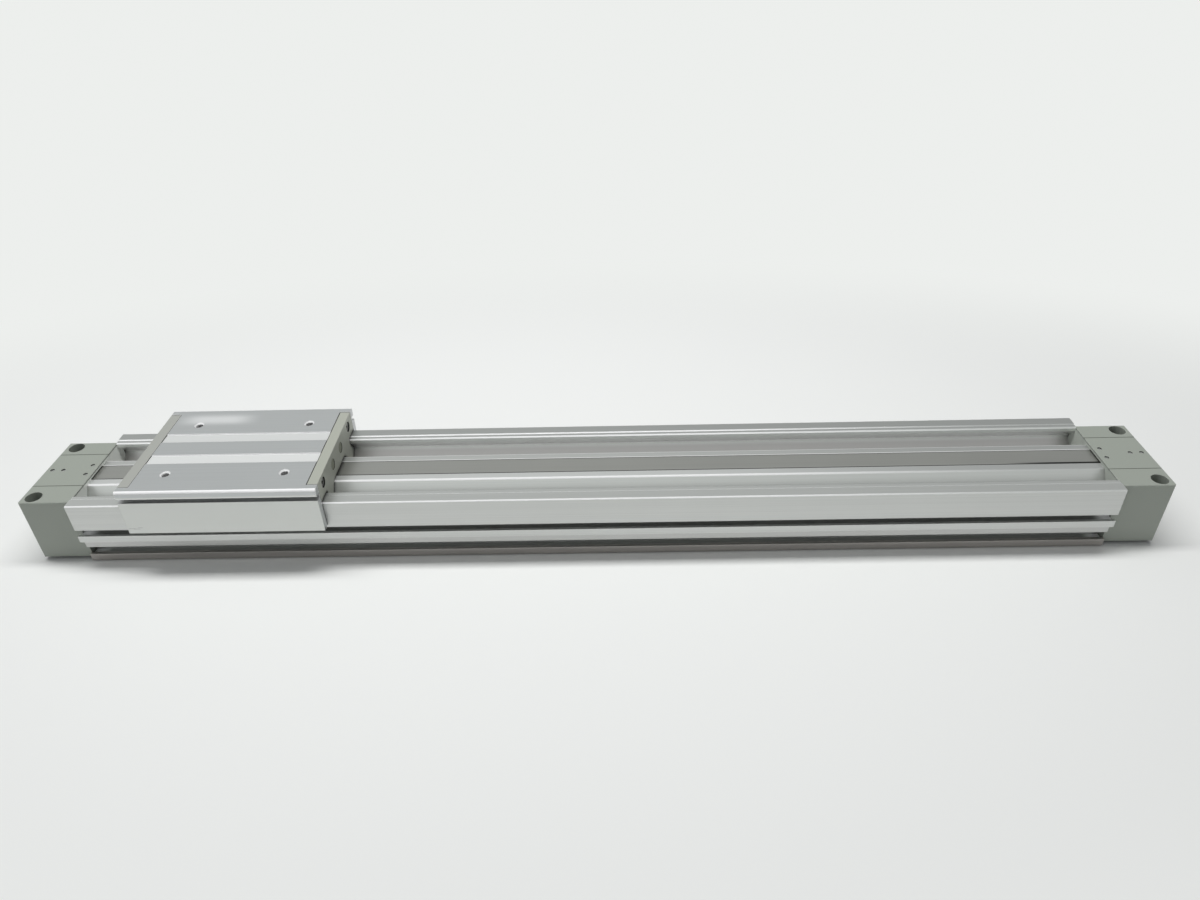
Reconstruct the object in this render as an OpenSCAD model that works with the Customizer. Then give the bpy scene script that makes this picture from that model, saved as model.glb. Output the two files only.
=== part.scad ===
// Rodless pneumatic cylinder: slotted barrel with a guided carriage.
// Millimetres, +X along the stroke, +Z up, origin under the middle of the barrel.

/* [Barrel] */
// length of the extruded barrel
profile_len = 700; // [560:10:1200]
// width over the outer side faces
profile_w = 88; // [87:0.5:92]
// height from base to outer lands
profile_h = 51; // [49:0.5:56]
// width over the lower side faces
base_w = 80.4; // [79:0.2:83]
// chamfer along the outer top edges
edge_c = 0.6; // [0.4:0.1:1.6]
// piston bore
bore_d = 32; // [29:0.5:32.5]
// height of the bore axis
bore_z = 21.5; // [21:0.1:21.8]
// slot that the yoke runs in
slot_w = 7; // [6.4:0.1:8.5]
// width over the two ridges beside the cover band
ridge_w = 28.6; // [27.6:0.2:29.4]
// ridges below the outer lands
ridge_drop = 3.7; // [3.2:0.1:4.2]

/* [Guide channels] */
// distance between the inner faces of the outer lips
lip_gap = 63.2; // [62.4:0.2:64]
// height of each lip's inner face
lip_t = 3.8; // [3.4:0.1:4.2]
// width over the deepest points of both V grooves
apex_w = 77.2; // [76.2:0.2:78]
// channel floor below the outer lands
channel_d = 17.4; // [17:0.1:17.8]
// width over the feet of the lower flanks
flank_w = 66; // [65:0.2:66.8]
// width over the feet of the ridges
ridge_foot_w = 49; // [46:0.5:50]
// thickness of the slide pads
pad_t = 1.5; // [1.2:0.1:1.7]

/* [Side slots] */
// mouth of the sensor slot
sensor_open = 5.3; // [5:0.1:5.6]
// lower lip edge of the sensor slot below the outer lands
sensor_drop = 25.8; // [25.4:0.1:26.2]
// lip of the sensor slot
sensor_lip = 2.2; // [1.6:0.1:3]
// inside depth of the sensor slot
sensor_room = 5.8; // [4.5:0.1:6]
// mouth of the mounting slot
tslot_open = 6.4; // [6:0.1:7]
// lower lip of the mounting slot above the base
tslot_z = 6.2; // [5.8:0.1:6.6]
// lip of the mounting slot
tslot_lip = 2.6; // [2:0.1:3.2]
// inside depth of the mounting slot
tslot_room = 6.4; // [5:0.1:7]

/* [Bands] */
// thickness of both steel bands
band_t = 0.5; // [0.4:0.05:0.6]
// width of the outer cover band
cover_band_w = 16; // [14:0.5:17]
// width of the inner sealing band
seal_band_w = 11; // [9:0.5:11.5]
// rise of the cover band over the yoke
band_lift = 5; // [4.8:0.1:5.4]
// dip of the sealing band under the neck
band_dip = 7; // [6.5:0.1:7.4]

/* [End caps] */
// length of each cap
cap_len = 35; // [34:0.5:44]
// width of each cap
cap_w = 72; // [71:0.5:74]
// underside of the cap above the base
cap_z = 2; // [0.5:0.1:3]
// top of the cap below the outer lands
cap_drop = 1; // [0.4:0.1:1.2]
// sideways offset of the cap body
cap_shift = -1.8; // [-2:0.1:-1.4]
// rear shoulder of the cap below its top
cap_step = 3.6; // [3.4:0.1:6]
// small radius on the cap edges
cap_round = 0.8; // [0.4:0.1:1.2]
// width of the separate band cover
cover_w = 38; // [36:0.5:38.5]
// clearance hole of the mounting screws
mount_hole_d = 6.6; // [5.5:0.1:7]
// counterbore of the mounting holes
mount_head_d = 11; // [10:0.5:11]
// thickness left under the counterbore
mount_seat = 14; // [8:1:20]
// spacing of the mounting holes across the cap
mount_dy = 59; // [58.6:0.2:59.4]
// mounting holes from the cap's outer face
mount_edge = 7.5; // [7:0.1:8]
// core of the air port
port_d = 8.8; // [8:0.1:10]
// depth of the air port
port_l = 10; // [8:0.5:12]
// plug that enters the bore
plug_l = 10; // [9:0.5:10]

/* [Cushion] */
// spigot outside
spigot_d = 14; // [12:0.5:15]
// spigot length past the plug
spigot_l = 10; // [6:0.5:11]
// air passage through cap and spigot
passage_d = 6; // [5:0.5:7]
// cushion needle
needle_d = 5; // [4:0.5:5.5]
// length of the needle
needle_l = 11; // [8:0.5:11.5]
// outside of the end buffer
buffer_od = 26; // [24:0.5:29]
// inside of the end buffer
buffer_id = 19; // [17:0.5:22]
// thickness of the end buffer
buffer_t = 1.5; // [1:0.1:1.7]

/* [Carriage] */
// carriage length
car_len = 132; // [130:1:160]
// carriage width
car_w = 100; // [98:0.5:104]
// carriage top above the outer lands
car_h = 15.5; // [15:0.5:22]
// skirts reach this far below the outer lands
skirt_drop = 18.7; // [12:0.1:19.5]
// carriage as shown, from the left end of its stroke
car_start = 7; // [0:1:500]
// thickness of each end plate
plate_t = 6; // [5:0.5:6.5]
// thickness of each wiper
wiper_t = 1.5; // [1:0.1:1.8]
// round marks on the end plates
mark_d = 8; // [6:0.5:9]
// hole spacing along the carriage
hole_dx = 80; // [74:1:86]
// hole spacing across the carriage
hole_dy = 60; // [54:1:70]
// core of the tapped holes
tap_d = 5; // [4.2:0.1:5.5]
// depth of the tapped holes
tap_l = 12; // [8:0.5:13]
// offset of the two shallow top grooves
top_groove_y = 13; // [11:0.5:16]
// width of the top grooves
top_groove_w = 10; // [8:0.5:12]
// depth of the top grooves
top_groove_d = 0.5; // [0.2:0.1:1]
// height of the groove along each side
side_groove_h = 3.3; // [2:0.1:3.6]
// depth of the groove along each side
side_groove_d = 4.2; // [1:0.1:4.8]

/* [Piston] */
// full piston length
piston_len = 176; // [172:1:176]
// length of the yoke body in the bore
yoke_len = 92; // [90:1:96]
// length of the neck in the slot
neck_len = 60; // [50:1:62]

/* [Fasteners] */
// core of the cap screw threads
cap_screw_d = 4.2; // [3.6:0.1:4.6]
// core of the piston screws
piston_screw_d = 6; // [5:0.5:6]
// core of the end plate screws
plate_screw_d = 4; // [3:0.5:4]
// core of the headless screws in the band covers
set_screw_d = 3; // [2.5:0.1:3]

/* [Hidden] */
$fn = 48;
// overshoot of cuts, thread clearance, running clearance
e = 0.1;
thread_gap = 0.02;
run_gap = 0.08;

// barrel
half_l = profile_len / 2;
hw = profile_w / 2;
hb = base_w / 2;
bore_r = bore_d / 2;
bore_top = bore_z + bore_r;
ridge_z = profile_h - ridge_drop;
lip_z = profile_h - lip_t;
floor_z = profile_h - channel_d;
sensor_z = profile_h - sensor_drop;
sensor_under = 2;
tslot_under = 2.4;
ridge_half = ridge_w / 2;
foot_half = ridge_foot_w / 2;
lip_half = lip_gap / 2;
apex_half = apex_w / 2;
flank_half = flank_w / 2;
ridge_k = (foot_half - ridge_half) / (ridge_z - floor_z);
ridge_n = sqrt(1 + ridge_k * ridge_k);
air_y = 27.5;
air_z = 21;
air_r = 4;
rib_z = sensor_z - 8.2;

// bands
band_play = 0.3;
band_sink = 0.2;
band_z = ridge_z - band_t - band_sink;
band_top = band_z + band_t;
groove_half = cover_band_w / 2 + band_play;
seal_play = 0.2;

// caps
cap_out = half_l + cap_len;
cap_top = profile_h - cap_drop;
tunnel_h = 0.6;
part_gap = 0.2;
back_y = apex_half + 0.4;
band_in_cap = 16;
plug_r = bore_r - 0.2;
oring_t = 1.5;
oring_w = 2.2;
oring_x = 3.7;
spigot_r = spigot_d / 2;
socket_r = spigot_r - 2;
socket_l = 6;
passage_r = passage_d / 2;
needle_r = needle_d / 2;
needle_z = band_z - 9.6;
needle_sink = 1;
mount_x = cap_out - mount_edge;
clamp_x = half_l + 4.7;
clamp_y = 5.4;
cover_dx = 7.8;
cover_edge = 4;
cover_xs = [cap_out - cover_edge - cover_dx, cap_out - cover_edge];
cover_screw_in = 4;
set_sink = 1;
set_r = set_screw_d / 2;
cap_screw_y = 16.5;
cap_screw_zs = [8, 34];
cap_screw_r = cap_screw_d / 2;
cap_screw_in = 12;
cap_head_r = cap_screw_r + 2.15;
cap_head_h = cap_screw_d + 0.8;
cap_head_sink = 1;

// carriage
car_z = profile_h + car_h;
skirt_z = profile_h - skirt_drop;
hc = car_len / 2;
cw = car_w / 2;
car_round = 1.5;
body_l = hc - plate_t - wiper_t;
skirt_in = hw + 0.5;
rim_y = skirt_in - 0.1;
plate_gap = 0.3;
joint_gap = 0.3;
land_gap = 0.7;
pad_gap = 0.06;
pad_end = 0.5;
upper_trim = pad_t + 2.5;
lower_trim = pad_t + 2.1;
neck_y = lip_half - pad_t * 0.7;
tip_y = apex_half - pad_t - 0.9;
upper_sum = lip_half + lip_z - pad_t * 1.414;
lower_dif = flank_half - floor_z - pad_t * 1.414;
leg_gap = 1.8;
leg_top = ridge_z + 1.5;
leg_bend = ridge_z - 2.3;
groove_drop = 5.8;
plate_show = 0.9;
plate_screw_y = 33.7;
plate_screw_z = car_z - 6;
plate_screw_r = plate_screw_d / 2;
plate_head_r = plate_screw_r * 1.75;
plate_head_h = 2.2;
plate_seat = 3;
plate_grip = 8;
plug_y = 10.2;
plug_z = car_z - 8.2;
mark_r = mark_d / 2;
mark_sink = 0.3;
wiper_drop = 2;
wiper_sink = 0.2;

// yoke and piston
end_gap = 0.5;
ph = piston_len / 2;
reach = half_l - plug_l - buffer_t - end_gap - ph;
car_x = car_start - reach;
neck_play = 0.3;
neck_w = slot_w - 2 * neck_play;
saddle_over = 2;
saddle_l = neck_len + 2 * saddle_over;
saddle_side = 8.7;
saddle_y = groove_half + saddle_side;
saddle_gap = 0.6;
saddle_z = ridge_z + saddle_gap;
cheek_t = 7.4;
hump_z = band_top + band_lift;
cheek_h = 4.9;
cheek_z = hump_z + cheek_h;
tunnel_y = groove_half + 0.9;
roof_z = hump_z + 1.1;
guide_play = 0.35;
guide_toe = 1.5;
guide_in = 4.5;
guide_x = saddle_l / 2 + guide_in;
yoke_half = yoke_len / 2;
piston_r = bore_r - 0.4;
dip_z = bore_top - band_dip;
dip_top = 8;
dip_foot = 10;
dip_mouth = 9;
dip_room = 2.2;
dip_under = 0.7;
dip_half = seal_band_w / 2 + 0.4;
notch_l = 11.5;
guide_r = bore_r - 0.05;
chamber_l = 15;
chamber_r = spigot_r + 0.6;
cushion_t = 3;
cushion_x = ph - 5;
cushion_r = spigot_r + 2.4;
cup_x = ph - 9;
cup_l = 3.4;
cup_t = 3;
ring_in = 17;
ring_x0 = ph - ring_in;
ring_l = 6;
ring_t = 1.2;
magnet_in = 27;
magnet_x = ph - magnet_in;
magnet_l = 7;
magnet_t = 2.6;
piston_screw_r = piston_screw_d / 2;
piston_head_r = piston_screw_r + 2;
piston_screw_in = 16;
piston_seat = ph - 20;
hex_k = 0.95;

/* [Nodes] */

// ---- helpers ----

// closed outline made of a right half and its mirror image
function both(h) = concat(h, [for (i = [len(h) - 1:-1:0]) [-h[i][0], h[i][1]]]);

// side of a ridge at height z, moved away by g
function ridge_at(z, g) = ridge_half + (ridge_z - z) * ridge_k + g * ridge_n;

// guide channel from ridge top to lip, moved inward by g; flanks at 45 degrees
function channel(g) = [
    [ridge_at(ridge_z + g, g), ridge_z + g],
    [ridge_at(floor_z + g, g), floor_z + g],
    [flank_half - 0.414 * g, floor_z + g],
    [apex_half - g, floor_z + apex_half - flank_half + 0.414 * g],
    [apex_half - g, lip_half + lip_z - apex_half - 0.414 * g],
    [lip_half - g, lip_z - 0.414 * g]];

// 2D section in Y and Z, drawn out along X from x0 to x1
module along_x(x0, x1) {
    translate([x0, 0, 0]) rotate([90, 0, 90]) linear_extrude(x1 - x0) children();
}

// 2D outline in X and Z, drawn out along Y about the middle
module across_y(w) {
    translate([0, w / 2, 0]) rotate([90, 0, 0]) linear_extrude(w) children();
}

// round bar along X
module bar_x(x0, x1, y, z, r) {
    translate([x0, y, z]) rotate([0, 90, 0]) cylinder(h = x1 - x0, r = r);
}

// hexagon socket along X, open at x1
module hex_x(x0, x1, y, z, r) {
    translate([x0, y, z]) rotate([0, 90, 0]) cylinder(h = x1 - x0, r = r, $fn = 6);
}

// rectangle with four rounded corners, from p to q
module round_rect(p, q, r) {
    for (y = [p[0] + r, q[0] - r], z = [p[1] + r, q[1] - r])
        translate([y, z]) circle(r);
    translate([p[0] + r, p[1]]) square([q[0] - p[0] - 2 * r, q[1] - p[1]]);
    translate([p[0], p[1] + r]) square([q[0] - p[0], q[1] - p[1] - 2 * r]);
}

// the same piece at the left or right end of the barrel
module at_end(side) {
    if (side > 0) children();
    else mirror([1, 0, 0]) children();
}

// the same piece at the left or right end of the carriage
module at_car(side) {
    translate([car_x, 0, 0]) at_end(side) children();
}

// ring about the bore axis
module ring_x(x0, x1, r_out, r_in) {
    difference() {
        bar_x(x0, x1, 0, bore_z, r_out);
        bar_x(x0 - e, x1 + e, 0, bore_z, r_in);
    }
}

// headless screw with a hexagon socket, top at z
module set_screw(x, y, z, l) {
    translate([x, y, z - l]) difference() {
        cylinder(h = l, r = set_r - thread_gap);
        translate([0, 0, l - set_r * 0.8]) cylinder(h = set_r, r = set_r * 0.57, $fn = 6);
    }
}

// ---- barrel ----

// undercut slot with its mouth at half width y0
module side_slot(y0, z0, mouth, lip, room, under, over) {
    translate([y0 - lip - e, z0]) square([lip + 1, mouth]);
    translate([y0 - lip - room, z0 - under]) square([room, mouth + under + over]);
}

module profile_2d() {
    difference() {
        polygon(both(concat([
            [0, 0], [hb - 1, 0], [hb, 1], [hb, rib_z], [hb + 2.8, rib_z + 2.8],
            [hw, rib_z + 3.2], [hw, profile_h - edge_c], [hw - edge_c, profile_h],
            [lip_half + 4.6, profile_h], [lip_half + 4.2, profile_h - 0.6],
            [lip_half + 3.6, profile_h - 0.6], [lip_half + 3.4, profile_h - 0.4],
            [lip_half + 0.8, profile_h - 0.4], [lip_half, profile_h - 1.2]],
            [for (i = [5:-1:1]) channel(0)[i]],
            [[ridge_half + 0.3, ridge_z - 0.4], [ridge_half - 0.4, ridge_z],
            [groove_half, ridge_z], [groove_half, band_z], [0, band_z]])));
        translate([0, bore_z]) circle(bore_r);
        // slot for the yoke and recess of the sealing band
        translate([-slot_w / 2, bore_z]) square([slot_w, band_z - bore_z + e]);
        translate([-seal_band_w / 2 - seal_play, bore_top - 1.2])
            square([seal_band_w + 2 * seal_play, 1.2 + band_t + e]);
        for (s = [0, 1]) mirror([s, 0]) {
            for (z = cap_screw_zs) translate([cap_screw_y, z]) circle(cap_screw_r);
            translate([air_y, air_z]) circle(air_r);
            side_slot(hw, sensor_z, sensor_open, sensor_lip, sensor_room,
                sensor_under, sensor_under * 0.6);
            side_slot(hb, tslot_z, tslot_open, tslot_lip, tslot_room,
                tslot_under, tslot_under);
        }
    }
}

module cylinder_profile() {
    color([0.74, 0.76, 0.76]) along_x(-half_l, half_l) profile_2d();
}

// ---- end caps ----

// block from y0 to y1 with small radii in plan and in the end view
module cap_block(y0, y1, top) {
    intersection() {
        along_x(half_l, cap_out) round_rect([y0, cap_z], [y1, top], cap_round);
        translate([0, 0, cap_z - e]) linear_extrude(top - cap_z + 2 * e)
            round_rect([half_l - 2 * cap_round, y0], [cap_out, y1], cap_round);
    }
}

module cap_solid() {
    difference() {
        union() {
            cap_block(cap_shift - cap_w / 2, cap_shift + cap_w / 2, cap_top);
            // rear shoulder that closes the guide channel
            cap_block(0, back_y, cap_top - cap_step);
            bar_x(half_l - plug_l, half_l + 1, 0, bore_z, plug_r);
        }
        // seat of the band cover
        translate([half_l - 1, -cover_w / 2, band_z]) cube([cap_len + 2, cover_w, cap_top]);
        // mounting holes
        for (s = [-1, 1]) translate([mount_x, cap_shift + s * mount_dy / 2, 0]) {
            cylinder(h = cap_top + 1, d = mount_hole_d);
            translate([0, 0, cap_z + mount_seat]) cylinder(h = cap_top, d = mount_head_d);
        }
        // cap screws
        for (s = [-1, 1], z = cap_screw_zs) {
            bar_x(half_l - 1, cap_out + 1, s * cap_screw_y, z, cap_screw_r + 0.6);
            bar_x(cap_out - cap_head_h - cap_head_sink, cap_out + 1, s * cap_screw_y, z,
                cap_head_r + 0.25);
        }
        // air port and passage
        bar_x(cap_out - port_l, cap_out + 1, 0, bore_z, port_d / 2);
        bar_x(half_l - plug_l - 1, cap_out - port_l + 1, 0, bore_z, passage_r);
        bar_x(half_l - plug_l - 1, half_l - plug_l + socket_l, 0, bore_z, socket_r);
        translate([cap_out - 0.8, 0, bore_z]) rotate([0, 90, 0])
            cylinder(h = 1, r1 = port_d / 2, r2 = port_d / 2 + 1);
        // o-ring groove
        difference() {
            bar_x(half_l - oring_x - oring_w - e, half_l - oring_x + e, 0, bore_z, plug_r + 1);
            bar_x(half_l - plug_l, half_l, 0, bore_z, plug_r - oring_t);
        }
        // cushion needle and its bleed hole
        bar_x(cap_out - needle_l - 3, cap_out + 1, 0, needle_z, needle_r);
        translate([cap_out - needle_l - 2, 0, bore_z])
            cylinder(h = needle_z - bore_z, r = 1.2);
        // cover screw threads
        for (x = cover_xs) translate([x, 0, band_z - cover_screw_in - 1])
            cylinder(h = cover_screw_in + 2, r = set_r);
    }
}

module cover_solid() {
    difference() {
        translate([half_l, -cover_w / 2 + part_gap, band_z])
            cube([cap_len, cover_w - 2 * part_gap, cap_top - band_z]);
        translate([half_l - 1, -groove_half, band_z - 1])
            cube([band_in_cap + 2, 2 * groove_half, band_t + tunnel_h + 1]);
        for (s = [-1, 1]) translate([clamp_x, s * clamp_y, band_z]) cylinder(h = cap_top, r = set_r);
        for (x = cover_xs) translate([x, 0, band_z - 1]) cylinder(h = cap_top, r = set_r);
    }
}

module end_cap_left() { color([0.62, 0.65, 0.61]) at_end(-1) cap_solid(); }
module end_cap_right() { color([0.62, 0.65, 0.61]) at_end(1) cap_solid(); }
module band_cover_left() { color([0.62, 0.65, 0.61]) at_end(-1) cover_solid(); }
module band_cover_right() { color([0.62, 0.65, 0.61]) at_end(1) cover_solid(); }

module band_set_screws() {
    l = cap_top - set_sink - band_top;
    color([0.25, 0.25, 0.26]) for (side = [-1, 1], s = [-1, 1]) at_end(side)
        set_screw(clamp_x, s * clamp_y, band_top + l, l);
}

module cover_screws() {
    l = cap_top - set_sink - band_z + cover_screw_in;
    color([0.25, 0.25, 0.26]) for (side = [-1, 1], x = cover_xs) at_end(side)
        set_screw(x, 0, cap_top - set_sink, l);
}

module cap_screws() {
    head_x = cap_out - cap_head_sink - cap_head_h;
    color([0.35, 0.35, 0.36]) for (side = [-1, 1], s = [-1, 1], z = cap_screw_zs)
        at_end(side) difference() {
            union() {
                bar_x(half_l - cap_screw_in, head_x, s * cap_screw_y, z,
                    cap_screw_r - thread_gap);
                bar_x(head_x, head_x + cap_head_h, s * cap_screw_y, z, cap_head_r);
            }
            hex_x(head_x + cap_head_h / 2, cap_out, s * cap_screw_y, z, cap_screw_r * hex_k * 1.15);
        }
}

module cap_o_rings() {
    color([0.08, 0.08, 0.08]) for (side = [-1, 1]) at_end(side)
        ring_x(half_l - oring_x - oring_w, half_l - oring_x, plug_r, plug_r - oring_t);
}

// brass tube that shuts the cushion chamber
module spigot_solid() {
    difference() {
        union() {
            bar_x(half_l - plug_l - spigot_l, half_l - plug_l, 0, bore_z, spigot_r);
            bar_x(half_l - plug_l, half_l - plug_l + socket_l, 0, bore_z, socket_r);
        }
        bar_x(half_l - plug_l - spigot_l - 1, half_l, 0, bore_z, passage_r);
    }
}

module cushion_spigot_left() { color([0.78, 0.66, 0.36]) at_end(-1) spigot_solid(); }
module cushion_spigot_right() { color([0.78, 0.66, 0.36]) at_end(1) spigot_solid(); }

module end_buffers() {
    color([0.12, 0.12, 0.12]) for (side = [-1, 1]) at_end(side)
        ring_x(half_l - plug_l - buffer_t, half_l - plug_l, buffer_od / 2, buffer_id / 2);
}

// slotted adjusting screw
module needle_solid() {
    difference() {
        bar_x(cap_out - needle_sink - needle_l, cap_out - needle_sink, 0, needle_z,
            needle_r - 0.05);
        translate([cap_out - needle_sink - 1.2, -needle_r - 1, needle_z - 0.4])
            cube([2, 2 * needle_r + 2, 0.8]);
    }
}

module cushion_needle_left() { color([0.72, 0.62, 0.36]) at_end(-1) needle_solid(); }
module cushion_needle_right() { color([0.72, 0.62, 0.36]) at_end(1) needle_solid(); }

// ---- bands ----

// thin strip in X and Z that leaves its flat run at the carriage
module strip_2d(x_end, z, lift, x_top, x_foot) {
    polygon([[-x_end, z], [car_x - x_foot, z], [car_x - x_top, z + lift],
        [car_x + x_top, z + lift], [car_x + x_foot, z], [x_end, z],
        [x_end, z + band_t], [car_x + x_foot, z + band_t],
        [car_x + x_top, z + lift + band_t], [car_x - x_top, z + lift + band_t],
        [car_x - x_foot, z + band_t], [-x_end, z + band_t]]);
}

module cover_band() {
    color([0.55, 0.55, 0.54]) across_y(cover_band_w)
        strip_2d(half_l + band_in_cap, band_z, band_lift, guide_x - 0.5, body_l - 2);
}

module sealing_band() {
    color([0.6, 0.6, 0.6]) across_y(seal_band_w)
        strip_2d(half_l, bore_top, -band_dip, yoke_half - dip_top, yoke_half + dip_foot);
}

// ---- carriage ----

module car_2d() {
    difference() {
        polygon(both([
            [0, car_z], [cw, car_z], [cw, skirt_z], [skirt_in, skirt_z],
            [skirt_in, profile_h + land_gap], [neck_y, profile_h + land_gap],
            [neck_y, upper_sum - neck_y], [tip_y, upper_sum - tip_y],
            [tip_y, tip_y - lower_dif], [floor_z + 1 + lower_dif, floor_z + 1],
            [ridge_at(floor_z + 1, leg_gap), floor_z + 1],
            [ridge_at(leg_bend, leg_gap), leg_bend],
            [ridge_at(leg_bend, leg_gap), leg_top], [0, leg_top]]));
        for (s = [0, 1]) mirror([s, 0]) {
            // rounded long edge
            difference() {
                translate([cw - car_round, car_z - car_round])
                    square([car_round + 1, car_round + 1]);
                translate([cw - car_round, car_z - car_round]) circle(car_round);
            }
            // shallow groove in the top face and deeper one in the side
            translate([top_groove_y - top_groove_w / 2, car_z - top_groove_d])
                square([top_groove_w, top_groove_d + 1]);
            translate([cw - side_groove_d, car_z - groove_drop - side_groove_h])
                square([side_groove_d + 1, side_groove_h]);
        }
        // band tunnel
        translate([-tunnel_y, leg_top - 1]) square([2 * tunnel_y, roof_z - leg_top + 1]);
    }
}

module carriage_plate() {
    color([0.72, 0.74, 0.74]) translate([car_x, 0, 0]) difference() {
        along_x(-hc, hc) car_2d();
        for (s = [0, 1]) mirror([s, 0, 0]) {
            // seat of the end plate and wiper
            translate([body_l, -rim_y, 0]) cube([hc, 2 * rim_y, car_z + 1]);
            for (y = [-1, 1]) {
                // tapped holes with a chamfered mouth
                translate([hole_dx / 2, y * hole_dy / 2, car_z - tap_l]) {
                    cylinder(h = tap_l + 1, d = tap_d);
                    translate([0, 0, tap_l - 1])
                        cylinder(h = 1.01, d1 = tap_d, d2 = tap_d + 2.02);
                }
                bar_x(body_l - plate_grip - 1, body_l + 1, y * plate_screw_y, plate_screw_z,
                    plate_screw_r);
            }
        }
        // pocket for the yoke saddle
        translate([-saddle_l / 2 - e, -saddle_y - 0.2, floor_z - 3])
            cube([saddle_l + 2 * e, 2 * saddle_y + 0.4, cheek_z + 0.3 - floor_z + 3]);
    }
}

// section of the end plate or wiper, clear of the barrel by g
module end_2d(g, top) {
    polygon(both(concat(
        [[0, top], [rim_y - plate_gap, top], [rim_y - plate_gap, profile_h + g],
        [lip_half - g, profile_h + g]],
        [for (i = [5:-1:0]) channel(g)[i]],
        [[0, ridge_z + g]])));
}

module end_plate_solid() {
    difference() {
        union() {
            along_x(hc - plate_t, hc) end_2d(plate_show, car_z);
            // top lip that covers the wiper
            translate([body_l + joint_gap, plate_gap - rim_y, car_z - wiper_drop + run_gap])
                cube([wiper_t + 1, 2 * (rim_y - plate_gap), wiper_drop - run_gap]);
        }
        for (y = [-1, 1]) {
            bar_x(hc - plate_t - 1, hc + 1, y * plate_screw_y, plate_screw_z,
                plate_screw_r + 0.2);
            bar_x(hc - plate_seat, hc + 1, y * plate_screw_y, plate_screw_z,
                plate_head_r + 0.3);
            bar_x(hc - plate_seat, hc + 1, y * plug_y, plug_z, mark_r);
        }
    }
}

module wiper_solid() {
    // lip that lines the opening of the end plate
    along_x(hc - plate_t - wiper_t / 2, hc - wiper_sink) difference() {
        end_2d(run_gap, car_z - wiper_drop);
        end_2d(plate_show - run_gap, car_z);
    }
    difference() {
        along_x(body_l, hc - plate_t) end_2d(run_gap, car_z - wiper_drop);
        for (y = [-1, 1]) bar_x(body_l - 1, hc - plate_t + 1, y * plate_screw_y,
            plate_screw_z, plate_screw_r + 0.2);
    }
}

module end_plate_left() { color([0.64, 0.64, 0.6]) at_car(-1) end_plate_solid(); }
module end_plate_right() { color([0.64, 0.64, 0.6]) at_car(1) end_plate_solid(); }
module wiper_left() { color([0.07, 0.07, 0.07]) at_car(-1) wiper_solid(); }
module wiper_right() { color([0.07, 0.07, 0.07]) at_car(1) wiper_solid(); }

module end_plate_screws() {
    head_x = hc - plate_seat;
    color([0.2, 0.2, 0.2]) for (side = [-1, 1], y = [-1, 1]) at_car(side) difference() {
        union() {
            bar_x(body_l - plate_grip, head_x, y * plate_screw_y, plate_screw_z,
                plate_screw_r - thread_gap);
            bar_x(head_x, head_x + plate_head_h, y * plate_screw_y, plate_screw_z,
                plate_head_r);
        }
        hex_x(head_x + plate_head_h / 3, hc, y * plate_screw_y, plate_screw_z,
            plate_head_r * 0.4);
    }
}

module end_plate_plugs() {
    color([0.5, 0.5, 0.46]) for (side = [-1, 1], y = [-1, 1]) at_car(side)
        bar_x(hc - plate_seat, hc - mark_sink, y * plug_y, plug_z, mark_r - thread_gap);
}

// strip on one flank, from p along direction d, inward by n
module pad_2d(p, d, n, l) {
    polygon([p + n * pad_gap, p + d * l + n * pad_gap, p + d * l + n * pad_t, p + n * pad_t]);
}

module pads_solid() {
    k = sqrt(0.5);
    along_x(pad_end - body_l, body_l - pad_end) {
        pad_2d([lip_half + 1, lip_z - 1], [k, -k], [-k, -k],
            (apex_half - lip_half) / k - upper_trim);
        pad_2d([flank_half + 1, floor_z + 1], [k, k], [-k, k],
            (apex_half - flank_half) / k - lower_trim);
    }
}

module slide_pads_front() {
    color([0.9, 0.9, 0.86]) translate([car_x, 0, 0]) mirror([0, 1, 0]) pads_solid();
}
module slide_pads_rear() { color([0.9, 0.9, 0.86]) translate([car_x, 0, 0]) pads_solid(); }

// shoes that hold the cover band down on both sides of its rise
module band_guides() {
    color([0.2, 0.2, 0.22]) for (side = [-1, 1]) at_car(side) across_y(2 * tunnel_y - 4 * e)
        polygon([[guide_x, hump_z + guide_play], [body_l - guide_toe, band_top + guide_play],
            [body_l, band_top + guide_play], [body_l, roof_z], [guide_x, roof_z]]);
}

// ---- piston ----

// bar in the bore, neck through the slot, saddle with a cheek on each side of the band
module drive_yoke() {
    color([0.68, 0.7, 0.7]) translate([car_x, 0, 0]) difference() {
        union() {
            bar_x(-yoke_half, yoke_half, 0, bore_z, piston_r);
            translate([-neck_len / 2, -neck_w / 2, bore_z])
                cube([neck_len, neck_w, saddle_z + 1 - bore_z]);
            translate([-saddle_l / 2, -saddle_y, saddle_z])
                cube([saddle_l, 2 * saddle_y, hump_z - band_t - 0.2 - saddle_z]);
            for (s = [0, 1]) mirror([0, s, 0])
                translate([-saddle_l / 2, saddle_y - cheek_t, saddle_z])
                    cube([saddle_l, cheek_t, cheek_z - saddle_z]);
        }
        // tunnel for the sealing band, open above its ramps
        translate([-yoke_half - 1, -dip_half, dip_z - dip_under])
            cube([2 * yoke_half + 2, 2 * dip_half, dip_room]);
        for (s = [0, 1]) mirror([s, 0, 0]) {
            translate([yoke_half - dip_mouth, -dip_half, dip_z - dip_under])
                cube([dip_mouth + 1, 2 * dip_half, bore_r]);
            bar_x(yoke_half - piston_screw_in - 2, yoke_half + 1, 0, bore_z, piston_screw_r);
        }
    }
}

module groove_x(x0, l, depth) {
    difference() {
        bar_x(x0, x0 + l, 0, bore_z, bore_r + 1);
        bar_x(x0 - 1, x0 + l + 1, 0, bore_z, piston_r - depth);
    }
}

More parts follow.
